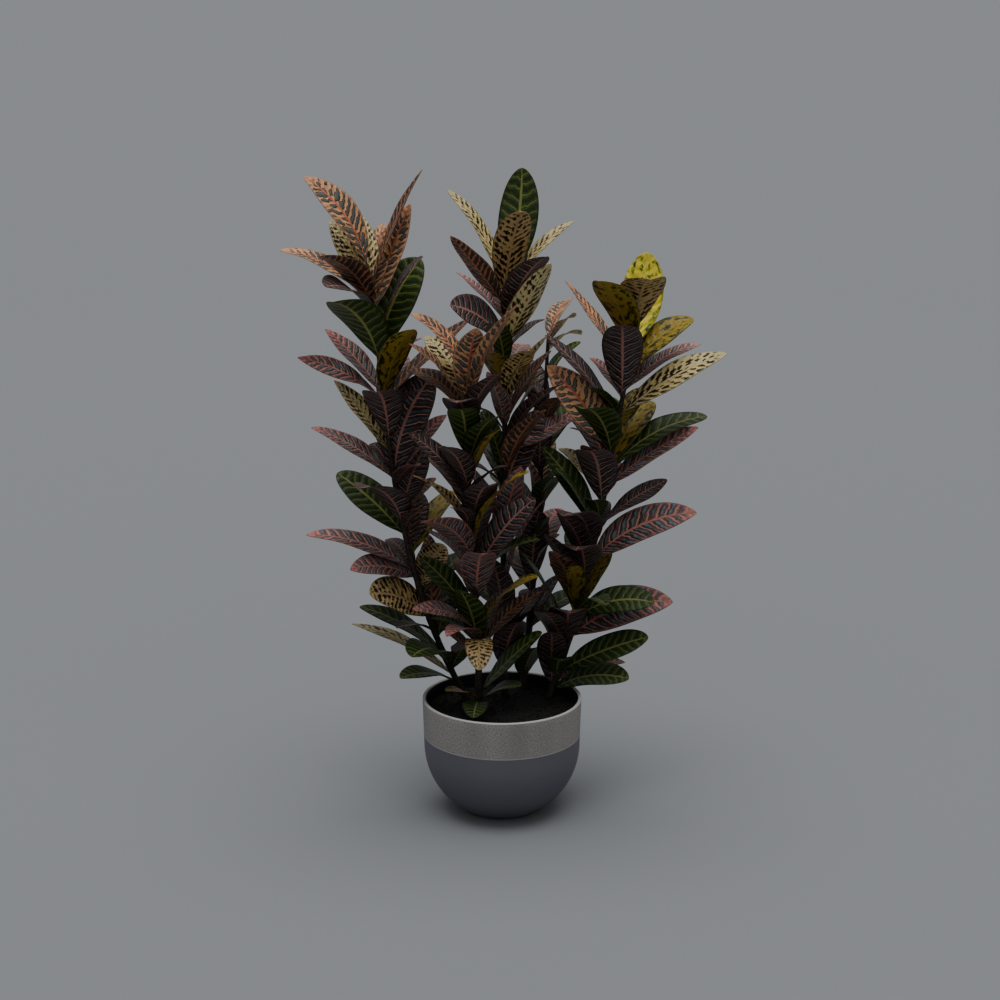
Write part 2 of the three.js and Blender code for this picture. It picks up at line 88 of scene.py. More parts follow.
def operator(operation: str, reflected: bool = False) -> Callable[..., Value]:
    """Makes a method of Value that adds one kind of Math node.

    Args:
        operation: The Math node's operation.
        reflected: Whether the value stands on the right of the operator.

    Returns:
        The method.
    """

    def apply(value: Value, *others: Value | float) -> Value:
        """Adds the node on the value and the others."""
        inputs = dict(enumerate((*others, value) if reflected else (value, *others)))
        return value.shader.number("ShaderNodeMath", {"operation": operation}, inputs)

    return apply


class Value:
    """A number in a material, on which Python's arithmetic adds Math nodes."""

    __add__, __radd__ = operator("ADD"), operator("ADD", True)
    __sub__, __rsub__ = operator("SUBTRACT"), operator("SUBTRACT", True)
    __mul__, __rmul__ = operator("MULTIPLY"), operator("MULTIPLY", True)
    __pow__, __abs__ = operator("POWER"), operator("ABSOLUTE")
    fract, above, angle_to = operator("FRACT"), operator("GREATER_THAN"), operator("ARCTAN2")

    def __init__(self, shader: Shader, socket: Socket) -> None:
        """Wraps a socket of a shader's tree."""
        self.shader = shader
        self.socket = socket

    def ramp(self, low: Value | float, high: Value | float) -> Value:
        """Goes smoothly from 0 at `low` to 1 at `high`, which may be under `low`."""
        inputs = {"Value": self, "From Min": low, "From Max": high}
        return self.shader.number("ShaderNodeMapRange", SMOOTH, inputs)


Feed = Value | Socket | float | Colour


class Shader:
    """One material's node tree, and the ways to add nodes to it."""

    def __init__(self, name: str) -> None:
        """Makes an empty material.

        Args:
            name: The material's name.
        """
        self.material = bpy.data.materials.new(name)
        self.material.use_nodes = True
        self.tree = self.material.node_tree
        self.tree.nodes.clear()

    def node(self, kind: str, settings: dict, inputs: dict) -> bpy.types.Node:
        """Adds a node.

        Args:
            kind: The node's type.
            settings: Its properties, set first.
            inputs: Values or links of its sockets, by name or number.

        Returns:
            The node.
        """
        made = self.tree.nodes.new(kind)
        for key, setting in settings.items():
            setattr(made, key, setting)
        for key, given in inputs.items():
            self._feed(made.inputs[key], given)
        return made

    def _feed(self, socket: Socket, given: Feed) -> None:
        """Sets a socket, or links something to it.

        Args:
            socket: The input socket.
            given: What it gets.
        """
        if isinstance(given, Value):
            given = given.socket
        if isinstance(given, Socket):
            self.tree.links.new(given, socket)
        elif socket.type == "RGBA":
            socket.default_value = (*(linear(level) for level in given), 1.0)
        else:
            socket.default_value = given

    def number(self, kind: str, settings: dict, inputs: dict) -> Value:
        """Adds a node and wraps its first result."""
        return Value(self, self.node(kind, settings, inputs).outputs[0])

    def mix(self, share: Value | float, low: Feed, high: Feed) -> Socket:
        """Blends two colours: a share of 0 gives `low` and 1 gives `high`."""
        inputs = {0: share, 6: low, 7: high}
        return self.node("ShaderNodeMix", {"data_type": "RGBA"}, inputs).outputs[2]

    def vector(self, x: Value | float, y: Value | float, z: Value | float) -> Socket:
        """Joins three numbers into a vector."""
        return self.node("ShaderNodeCombineXYZ", {}, {0: x, 1: y, 2: z}).outputs[0]

    def parts(self, vector: Socket) -> tuple[Value, Value, Value]:
        """Splits a vector into three numbers."""
        made = self.node("ShaderNodeSeparateXYZ", {}, {0: vector})
        return tuple(Value(self, socket) for socket in made.outputs)

    def clouds(self, where: Feed, scale: float, detail: float = 2.0, rough: float = 0.5) -> Value:
        """Adds soft noise about 0.5; `detail` and `rough` count and weigh its finer layers."""
        inputs = {"Vector": where, "Scale": scale, "Detail": detail, "Roughness": rough}
        return self.number("ShaderNodeTexNoise", {}, inputs)

    def cells(self, where: Feed, scale: float) -> Value:
        """Adds a cell pattern: the distance in each cell."""
        return self.number("ShaderNodeTexVoronoi", {}, {"Vector": where, "Scale": scale})

    def place(self) -> Socket:
        """Gives the object's own coordinates, in metres."""
        return self.node("ShaderNodeTexCoord", {}, {}).outputs["Object"]

    def bump(self, height: Value, depth: float) -> Socket:
        """Turns a height, whose 1 stands for a depth in metres, into a normal."""
        return self.node("ShaderNodeBump", {}, {"Distance": depth, "Height": height}).outputs[0]

    def finish(self, inputs: dict) -> Material:
        """Adds the surface shader.

        Args:
            inputs: Values or links of its sockets, by name.

        Returns:
            The finished material.
        """
        surface = self.node("ShaderNodeBsdfPrincipled", {}, inputs)
        self.node("ShaderNodeOutputMaterial", {}, {0: surface.outputs[0]})
        return self.material


# ---------------- finishes


@dataclass(frozen=True)
class LeafFinish:
    """Colours and markings of one kind of blade.

    A blade has a midrib and side veins that lean toward the tip. In each row between two
    side veins lie ragged patches with a darker line round them: blocks, dashes or blotches.
    On the dark kinds the patches are painted sheen, lightest at each cell's middle.
    """

    name: str
    base: Colour
    tip: Colour
    # On the dark kinds the patch colour is painted sheen.
    patch_and_sheen: Colour
    outline: Colour
    vein: Colour
    midrib: Colour
    margin: Colour
    # Near-black colour of the painted shade lower down the plant, and of the random darker tone.
    shade: Colour = (6.589, 4.942, 3.295)
    vein_count: float = 14.0
    vein_lean: float = 0.12
    vein_width: float = 0.2
    vein_strength: float = 1.0
    vein_wander: float = 0.9
    side_shift: float = 0.42
    midrib_width: float = 0.06
    margin_strength: float = 0.5
    rim_line: float = 0.55
    row_weight: float = 1.0
    patch_level: float = 0.56
    base_level: float = 0.5
    patch_swing: float = 3.0
    patch_length: float = 1.8
    patch_crowd: float = 0.0
    patch_edge: float = 0.06
    edge_cover: float = 0.0
    ragged: float = 0.5
    outline_width: float = 0.2
    plain_tip: float = 0.97
    cloud: float = 0.5
    # Painted shade lower down the plant: its strength, full and starting heights; then the random
    # darker tone's spread.
    low_shade_share: float = 0.3
    full_shade_height: float = 0.3
    unshaded_height: float = 0.8
    dark_tone_spread: float = 0.16
    gloss: float = 0.4
    gloss_spread: float = 0.16
    pillow: float = 0.5
    relief: float = 0.0018
    specular: float = 0.3

    def material(self) -> Material:
        """Makes the blade's material, which follows the blade's own map.

        Returns:
            The material.
        """
        shader = Shader(self.name)
        blade_map = shader.node("ShaderNodeUVMap", {"uv_map": BLADE_MAP}, {}).outputs[0]
        u, v, _ = shader.parts(blade_map)
        named = {"attribute_type": "GEOMETRY", "attribute_name": SEED_LAYER}
        seed = Value(shader, shader.node("ShaderNodeAttribute", named, {}).outputs["Fac"])
        out = abs(v * 2.0 - 1.0)
        side = v.above(0.5)
        # Side veins and midrib.
        girth = (u * (1.0 - u) * 4.0) ** 0.8
        wander = shader.clouds(shader.vector(u * 2.2, v * 1.6, seed * 37.0), 2.4) - 0.5
        fray = shader.clouds(shader.vector(u * 52.0, v * 17.0, seed * 13.0), 1.0) - 0.5
        rows = (u - out**1.2 * girth * self.vein_lean) * self.vein_count
        rows = rows + side * self.side_shift + wander * self.vein_wander + seed * 5.0
        gap = 1.0 - abs(rows.fract() * 2.0 - 1.0)
        width = (1.0 - out * 0.5) * self.vein_width + fray * self.vein_width * 0.6
        vein = gap.ramp(width, width * 0.5) * out.ramp(1.0, 0.8) * self.vein_strength
        midrib = (out + fray * 0.04).ramp(self.midrib_width * 1.6, self.midrib_width * 0.7)
        # Patches, which on the dark kinds are painted sheen: the score is above 0 inside one.
        spot = rows * self.patch_crowd if self.patch_crowd else (rows - rows.fract()) * 1.7
        spot = shader.vector(spot, out * self.patch_length + side * 9.0, seed * 71.0)
        score = (shader.clouds(spot, 1.5, 1.5) - 0.5) * self.patch_swing + fray * self.ragged
        score = gap * self.row_weight + (score + out.ramp(0.3, 0.95) * self.edge_cover)
        score = score - (u.ramp(0.1, 0.6) * (self.patch_level - self.base_level) + self.base_level)
        room = u.ramp(self.plain_tip + 0.03, self.plain_tip - 0.06) * out.ramp(0.04, 0.1)
        patch_and_sheen = score.ramp(0.0, self.patch_edge) * room
        outline = score.ramp(-self.outline_width, self.patch_edge - self.outline_width) * room
        # Colour, layer by layer.
        # Painted shade: the lower a blade sits, the more it is blended toward the near-black shade
        # colour; a random darker tone per blade comes on top.
        _, _, z = shader.parts(shader.place())
        painted_low_shade = z.ramp(self.unshaded_height, self.full_shade_height) * self.low_shade_share
        shade = shader.clouds(shader.vector(u * 3.0, v * 2.0, seed * 53.0), 1.8, 3.0)
        coloured = shader.mix(u.ramp(0.5, 0.95), self.base, self.tip)
        for share, colour in (
            ((shade - 0.42) * self.cloud, self.outline),
            (vein, self.vein),
            (outline, self.outline),
            (patch_and_sheen, self.patch_and_sheen),
            (out.ramp(0.84, 0.96) * self.margin_strength, self.margin),
            (out.ramp(0.95, 1.0) * self.rim_line, self.outline),
            (midrib, self.midrib),
            (painted_low_shade + (seed * 7.31).fract() * self.dark_tone_spread, self.shade),
        ):
            coloured = shader.mix(share, coloured, colour)
        grain = shader.clouds(shader.vector(u * 60.0, v * 22.0, seed * 11.0), 3.0, 3.0)
        height = gap.ramp(0.0, 0.9) * self.pillow + midrib * 0.5 + grain * 0.14
        return shader.finish({
            "Base Color": coloured,
            "Roughness": self.gloss + grain * self.gloss_spread,
            "Normal": shader.bump(height, self.relief),
            "Specular IOR Level": self.specular,
        })


# What the two kinds with free blotches share.
BLOTCHED = dict(
    vein_count=10, vein_strength=0.35, row_weight=0.2, patch_swing=3.2, patch_length=2.2,
    patch_crowd=0.9, patch_edge=0.3, edge_cover=0.3, ragged=1.4, outline_width=0.3,
)


class Tone(Enum):
    """The kinds of blade that the plant carries.

    Colours: base, tip, patch (painted sheen on the dark kinds), patch's outline, side vein,
    midrib and margin.
    """

    GREEN = LeafFinish(
        "leaf_green", (58, 80, 28), (68, 90, 30), (40, 60, 20), (26, 40, 12), (140, 152, 74),
        (154, 156, 86), (40, 52, 18), vein_count=11, vein_width=0.15, vein_strength=0.8,
        patch_level=0.62, patch_swing=1.4, patch_edge=0.3, margin_strength=0.6, pillow=0.4,
    )
    # Painted sheen: grey-blue patches, lightest in the middle of each cell between the veins.
    DARK = LeafFinish(
        "leaf_dark", (64, 42, 40), (90, 58, 54), (90, 98, 104), (12, 9, 9), (198, 146, 130),
        (184, 128, 116), (96, 60, 56), vein_count=12, vein_width=0.17, patch_level=0.42,
        base_level=0.46, patch_swing=1.2, patch_length=1.4, patch_edge=0.8, outline_width=0.34,
        pillow=0.8,
    )
    # Painted sheen: grey-blue patches, lightest in the middle of each cell between the veins.
    PINK = LeafFinish(
        "leaf_dark_pink", (124, 76, 68), (220, 140, 128), (124, 138, 146), (14, 10, 11),
        (222, 166, 150), (214, 138, 124), (196, 122, 110), vein_count=12, patch_level=0.46,
        base_level=0.44, patch_swing=1.6, patch_length=1.6, patch_edge=0.7, outline_width=0.34,
        margin_strength=0.55, plain_tip=0.93, pillow=0.8,
    )
    ORANGE = LeafFinish(
        "leaf_orange", (224, 172, 116), (236, 172, 124), (96, 100, 94), (40, 26, 18),
        (232, 166, 128), (218, 118, 90), (226, 156, 120), vein_width=0.36, patch_level=0.66,
        base_level=0.46, patch_length=1.5, ragged=0.7, outline_width=0.24, plain_tip=0.92,
        margin_strength=0.75,
    )
    CREAM = LeafFinish(
        "leaf_cream", (216, 198, 134), (228, 212, 154), (38, 22, 16), (98, 62, 40),
        (222, 206, 146), (222, 202, 142), (216, 198, 138), patch_level=0.78, base_level=0.54,
        patch_swing=3.6, patch_length=3.4, ragged=1.2, plain_tip=0.94, cloud=0.3,
    )
    TAN = LeafFinish(
        "leaf_tan", (204, 172, 112), (212, 182, 124), (38, 26, 16), (80, 54, 30), (198, 166, 108),
        (198, 166, 110), (180, 148, 92), vein_count=15, vein_width=0.3, patch_level=0.68,
        base_level=0.56, patch_length=2.8, ragged=1.0, outline_width=0.14,
    )
    YELLOW = LeafFinish(
        "leaf_yellow", (154, 128, 26), (168, 142, 30), (30, 40, 12), (70, 68, 14), (146, 124, 28),
        (158, 136, 44), (92, 84, 18), patch_level=0.5, base_level=0.34, cloud=0.3, **BLOTCHED,
    )
    GOLD = LeafFinish(
        "leaf_gold", (224, 208, 36), (232, 214, 60), (36, 72, 16), (140, 144, 26), (228, 210, 60),
        (226, 214, 90), (190, 180, 36), base_level=0.36, cloud=0.2, **BLOTCHED,
    )
    RUST = LeafFinish(
        "leaf_rust", (160, 104, 72), (178, 122, 88), (60, 58, 56), (34, 21, 16), (184, 126, 92),
        (182, 112, 84), (152, 100, 72), vein_width=0.3, patch_swing=2.4, patch_length=1.6,
        outline_width=0.22,
    )


GREEN, DARK, PINK, ORANGE, CREAM, TAN, YELLOW, GOLD, RUST = Tone


@dataclass(frozen=True)
class BarkFinish:
    """Grey-brown stem with leaf scars."""

    light: Colour = (62, 46, 38)
    dark: Colour = (22, 15, 12)
    scar_spacing: float = 0.011
    scar_sway: float = 1.4
    roughness: float = 0.72
    relief: float = 0.0008

    def material(self) -> Material:
        """Makes the bark.

        Returns:
            The material.
        """
        shader = Shader("bark")
        place = shader.place()
        x, y, z = shader.parts(place)
        rough = shader.clouds(shader.vector(x, y, z * 0.35), 420.0, 4.0, 0.6)
        scars = z * (1 / self.scar_spacing) + shader.clouds(place, 60.0) * self.scar_sway
        ring = abs(scars.fract() * 2.0 - 1.0).ramp(0.72, 0.95)
        coloured = shader.mix(rough.ramp(0.35, 0.7), self.dark, self.light)
        coloured = shader.mix(ring * 0.6, coloured, self.dark)
        normal = shader.bump(rough * 0.6 - ring * 0.7, self.relief)
        return shader.finish(
            {"Base Color": coloured, "Roughness": self.roughness, "Normal": normal}
        )


@dataclass(frozen=True)
class SoilFinish:
    """Damp, dark potting mix."""

    dark: Colour = (7, 5, 3)
    light: Colour = (50, 36, 26)
    grain: float = 260.0
    dust_grain: float = 676.0
    roughness: float = 0.92
    relief: float = 0.0022

    def material(self) -> Material:
        """Makes the soil.

        Returns:
            The material.
        """
        shader = Shader("potting_mix")
        place = shader.place()
        crumbs = shader.cells(place, self.grain)
        dust = shader.clouds(place, self.dust_grain, 3.0, 0.6)
        lit = crumbs.ramp(0.7, 0.1) * dust.ramp(0.35, 0.75)
        return shader.finish({
            "Base Color": shader.mix(lit, self.dark, self.light),
            "Roughness": self.roughness,
            "Normal": shader.bump(1.0 - crumbs + dust * 0.5, self.relief),
        })


@dataclass(frozen=True)
class CeramicFinish:
    """Slate bowl with painted shade toward its foot, a lighter, finely mottled band with painted
    reflection streaks, and a thin pale line at its edges.
    """

    slate: Colour = (100, 98, 110)
    # Darker slate: painted shade at the bowl's foot, and the dark of the bowl's mottle.
    shaded_and_mottled_slate: Colour = (84, 82, 92)
    band: Colour = (186, 180, 176)
    # Dark of the band's weave, and of its painted reflection streaks.
    weave_and_reflection_dark: Colour = (104, 100, 98)
    line: Colour = (208, 204, 200)
    inside: Colour = (22, 20, 20)
    shade_fade_height: float = 0.11
    band_foot: float = 0.1400
    band_blur: float = 0.0006
    line_height: float = 0.0012
    rim_line: float = 0.0008
    rim_top: float = 0.2046
    girth: float = 0.139
    weave_grain: float = 900.0
    inner_radius: float = 0.1362
    inner_blur: float = 0.001
    inner_low: float = 0.12
    relief: float = 0.0005

    def material(self) -> Material:
        """Makes the glaze, which changes with height.

        Returns:
            The material.
        """
        shader = Shader("two_tone_ceramic")
        place = shader.place()
        x, y, z = shader.parts(place)
        way = y.angle_to(x) * self.girth
        across = shader.vector(way * 0.4, z * 1.5, 0.0)
        upright = shader.vector(way * 1.5, z * 0.4, 4.0)
        weave = shader.clouds(across, self.weave_grain, 2.0, 0.6)
        weave = (weave + shader.clouds(upright, self.weave_grain, 2.0, 0.6)) * 0.5
        cloud = shader.clouds(place, 22.0, 3.0)
        # Painted reflection: soft darker upright streaks round the band.
        reflection_streak = shader.clouds(shader.vector(way, 0.0, z * 0.2), 14.0)
        band = shader.mix(weave.ramp(0.4, 0.6), self.weave_and_reflection_dark, self.band)
        band = shader.mix((reflection_streak - 0.4) * 1.2, band, self.weave_and_reflection_dark)
        # Painted shade: the bowl darkens toward its foot; the clouds below mottle it with the same
        # dark slate.
        bowl = shader.mix(z.ramp(0.0, self.shade_fade_height), self.shaded_and_mottled_slate, self.slate)
        bowl = shader.mix((cloud - 0.3) * 0.5, bowl, self.shaded_and_mottled_slate)
        bowl = shader.mix(weave.ramp(0.42, 0.62) * 0.3, bowl, self.weave_and_reflection_dark)
        on_band = z.ramp(self.band_foot - self.band_blur, self.band_foot + self.band_blur)
        near_foot = abs(z - self.band_foot).ramp(self.line_height, self.line_height * 0.4)
        near_rim = z.ramp(self.rim_top - self.rim_line, self.rim_top)
        inner = (x * x + y * y) ** 0.5
        within = inner.ramp(self.inner_radius, self.inner_radius - self.inner_blur)
        within = within * z.ramp(self.inner_low, self.inner_low + 0.01) * (1.0 - near_rim)
        coloured = shader.mix(on_band, bowl, band)
        coloured = shader.mix(near_foot * 0.55, coloured, self.line)
        coloured = shader.mix(near_rim * 0.8, coloured, self.line)
        return shader.finish({
            "Base Color": shader.mix(within, coloured, self.inside),
            "Roughness": 0.5 + weave * 0.12,
            "Normal": shader.bump(weave * on_band + cloud * 0.2, self.relief),
        })


# ---------------- mesh making


def lathe(bm: Mesh, profile: Profile, steps: int) -> None:
    """Turns a profile about the upright axis.

    Args:
        bm: The mesh that gets the body.
        profile: Radius and height of each point; a closed body starts and ends on the axis.
        steps: How many strips the turn has.
    """
    chain = [bm.verts.new((radius, 0.0, height)) for radius, height in profile]
    edges = [bm.edges.new(pair) for pair in zip(chain, chain[1:])]
    bmesh.ops.spin(
        bm, geom=chain + edges, cent=(0, 0, 0), axis=(0, 0, 1), angle=math.tau, steps=steps,
        use_merge=True,
    )
    bmesh.ops.remove_doubles(bm, verts=bm.verts[:], dist=TINY)
    bmesh.ops.recalc_face_normals(bm, faces=bm.faces[:])


def stand(name: str, data: bpy.types.ID) -> bpy.types.Object:
    """Adds an object of a mesh, camera or light to the scene, at the origin."""
    bpy.context.scene.collection.objects.link(made := bpy.data.objects.new(name, data))
    return made


def piece(bm: Mesh, name: str, finishes: Sequence[Material]) -> bpy.types.Object:
    """Makes an object of a bmesh in millimetres, smoothly shaded.

    Args:
        bm: The mesh, which is used up.
        name: The piece's name.
        finishes: Its materials, in the order of its faces' numbers.

    Returns:
        The object, at the origin.
    """
    bmesh.ops.scale(bm, vec=(METRES,) * 3, verts=bm.verts[:])
    for face in bm.faces:
        face.smooth = True
    mesh = bpy.data.meshes.new(name)
    bm.to_mesh(mesh)
    bm.free()
    for finish in finishes:
        mesh.materials.append(finish)
    return stand(name, mesh)


def settle(made: bpy.types.Object, node: str) -> None:
    """Puts a piece on the part in a solid's stead.

    Args:
        made: The piece.
        node: The solid that it stands for.
    """
    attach(made, "root")
    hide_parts(node)
    LOG.info("%s: %d faces, for %s", made.name, len(made.data.polygons), node)


# ---------------- pot and soil


@dataclass
class Pot:
    """A deep ceramic bowl with a nearly straight band above it."""

    height: float = 206.0
    rim_radius: float = 140.0
    bowl_top: float = 122.0
    bowl_radius: float = 137.5
    bowl_depth: float = 137.0
    wall: float = 6.0
    rim_round: float = 2.0
    rim_steps: int = 8
    floor: float = 9.0
    foot_round: float = 1.5
    rings: int = 30
    ring_crowd: float = 1.4
    steps: int = 144

    def radius(self, z: float) -> float:
        """Gives the outer radius.

        Args:
            z: Height over the underside.

        Returns:
            The radius at that height.
        """
        if z >= self.bowl_top:
            share = (z - self.bowl_top) / (self.height - self.bowl_top)
            return self.bowl_radius + (self.rim_radius - self.bowl_radius) * share
        return self.bowl_radius * math.sqrt(1 - ((self.bowl_top - z) / self.bowl_depth) ** 2)

    def section(self) -> Profile:
        """Draws half the section of the pot.

        Returns:
            The profile, from the axis under the pot to the axis on its floor.
        """
        top = self.height - self.rim_round
        heights = [top * (i / self.rings) ** self.ring_crowd for i in range(self.rings + 1)]
        outer = [(self.radius(z), z) for z in heights]
        turns = [math.pi * i / self.rim_steps for i in range(1, self.rim_steps)]
        half = self.wall / 2
        middle = self.rim_radius - half
        rim = [(middle + half * math.cos(a), top + self.rim_round * math.sin(a)) for a in turns]
        inner = [(self.radius(z) - self.wall, z) for z in reversed(heights) if z >= self.floor]
        foot = (self.radius(0) - self.foot_round, 0.0)
        return [(0.0, 0.0), foot, *outer[1:], *rim, *inner, (0.0, self.floor)]

    def build(self) -> None:
        """Makes and dresses the pot."""
        bm = bmesh.new()
        lathe(bm, self.section(), self.steps)
        settle(piece(bm, "ceramic_pot", [CeramicFinish().material()]), "pot")


@dataclass
class Soil:
    """Heaped potting mix with loose crumbs on it."""

    pot: Pot
    heap: float = 4.0
    depth: float = 60.0
    play: float = 0.6
    rings: int = 44
    steps: int = 150
    lump_height: float = 1.6
    lump_scale: float = 0.05
    grit_height: float = 1.1
    grit_scale: float = 0.22
    crumb_count: int = 620
    crumb_size: tuple[float, float] = (0.8, 2.6)
    crumb_lumps: tuple[float, float] = (0.7, 1.15)
    crumb_lift: float = 0.25
    seed: int = 11

    def surface(self, x: float, y: float) -> float:
        """Gives the height of the lumpy top.

        Args:
            x: Place to the right.
            y: Place to the back.

        Returns:
            The height over the pot's underside.
        """
        edge = self.pot.radius(SOIL_LEVEL) - self.pot.wall
        share = min(1.0, math.hypot(x, y) / edge)
        coarse = noise.noise(Vector((x, y, 3.0)) * self.lump_scale)
        fine = noise.noise(Vector((x, y, 9.0)) * self.grit_scale)
        heap = self.heap * (1 - share**2)
        return SOIL_LEVEL + heap + self.lump_height * coarse + self.grit_height * fine

    def build(self) -> None:
        """Makes and dresses the soil, and strews crumbs on its top."""
        bm = bmesh.new()
        low = SOIL_LEVEL - self.depth
        inset = self.pot.wall + self.play
        edge, low_edge = self.pot.radius(SOIL_LEVEL) - inset, self.pot.radius(low) - inset
        top = [(edge * (1 - i / self.rings), SOIL_LEVEL) for i in range(self.rings + 1)]
        lathe(bm, [(0.0, low), (low_edge, low), *top], self.steps)
        for vertex in bm.verts:
            if vertex.co.z > low + TINY:
                vertex.co.z = self.surface(vertex.co.x, vertex.co.y)
        draw = random.Random(self.seed)
        for _ in range(self.crumb_count):
            size = draw.uniform(*self.crumb_size)
            out = (edge - size) * math.sqrt(draw.random())
            way = draw.uniform(0, math.tau)
            x, y = out * math.cos(way), out * math.sin(way)
            crumb = bmesh.ops.create_icosphere(bm, subdivisions=1, radius=size)["verts"]
            for vertex in crumb:
                vertex.co *= draw.uniform(*self.crumb_lumps)
            height = self.surface(x, y) + size * self.crumb_lift
            bmesh.ops.translate(bm, vec=(x, y, height), verts=crumb)
        settle(piece(bm, "potting_soil", [SoilFinish().material()]), "soil")


# ---------------- stems and leaves


@dataclass
class Stem:
    """A woody stem whose axis is a cubic curve over even heights."""

    name: str
    top: float
    axis: Sequence[tuple[float, float]]
    root: float = 55.0
    foot_radius: float = 7.0
    tip_radius: float = 3.2
    sides: int = 16
    rings: int = 60

    def at(self, z: float) -> Array:
        """Gives the axis's point; under the soil it runs straight down.

        Args:
            z: Height over the pot's underside.

        Returns:
            The point.
        """
        t = min(1.0, max(0.0, (z - SOIL_LEVEL) / (self.top - SOIL_LEVEL)))
        s = 1 - t
        weights = (s**3, 3 * s * s * t, 3 * s * t * t, t**3)
        x, y = (sum(w * p[i] for w, p in zip(weights, self.axis)) for i in (0, 1))
        return np.array((x, y, z))

    def wood(self) -> Mesh:
        """Makes the bare stem, a little knotted.

        Returns:
            Its mesh.
        """
        bm = bmesh.new()
        foot = SOIL_LEVEL - self.root
        height = self.top - foot
        bmesh.ops.create_cone(
            bm, cap_ends=True, segments=self.sides, radius1=self.foot_radius,
            radius2=self.tip_radius, depth=height,
        )
        for i in range(1, self.rings):
            level = height * (i / self.rings - 0.5)
            geom = bm.verts[:] + bm.edges[:] + bm.faces[:]
            bmesh.ops.bisect_plane(bm, geom=geom, plane_co=(0, 0, level), plane_no=(0, 0, 1))
        for vertex in bm.verts:
            z = foot + height / 2 + vertex.co.z
            knot = 1 + 0.07 * math.sin(z * 0.55) + 0.05 * math.sin(z * 0.21 + self.top)
            centre = self.at(z)
            vertex.co = (centre[0] + vertex.co.x * knot, centre[1] + vertex.co.y * knot, z)
        return bm


@dataclass(frozen=True)
class BladeShape:
    """How every blade is bent, folded and waved."""

    stalk_share: float = 0.07
    stalk_half_width: float = 2.2
    base: float = 0.75
    taper: float = 0.78
    blunt_taper: float = 0.6
    blunt_tones: Sequence[Tone] = (GREEN, DARK, YELLOW, GOLD, TAN)
    fold: float = 0.16
    wave: float = 1.6
    waves: float = 1.5
    wave_shift: float = 0.37
    twist_start: float = 0.3
    thickness: float = 0.9
    spans: int = 26
    strips: int = 10
    tip_crowd: float = 1.4
    weld: float = 0.01


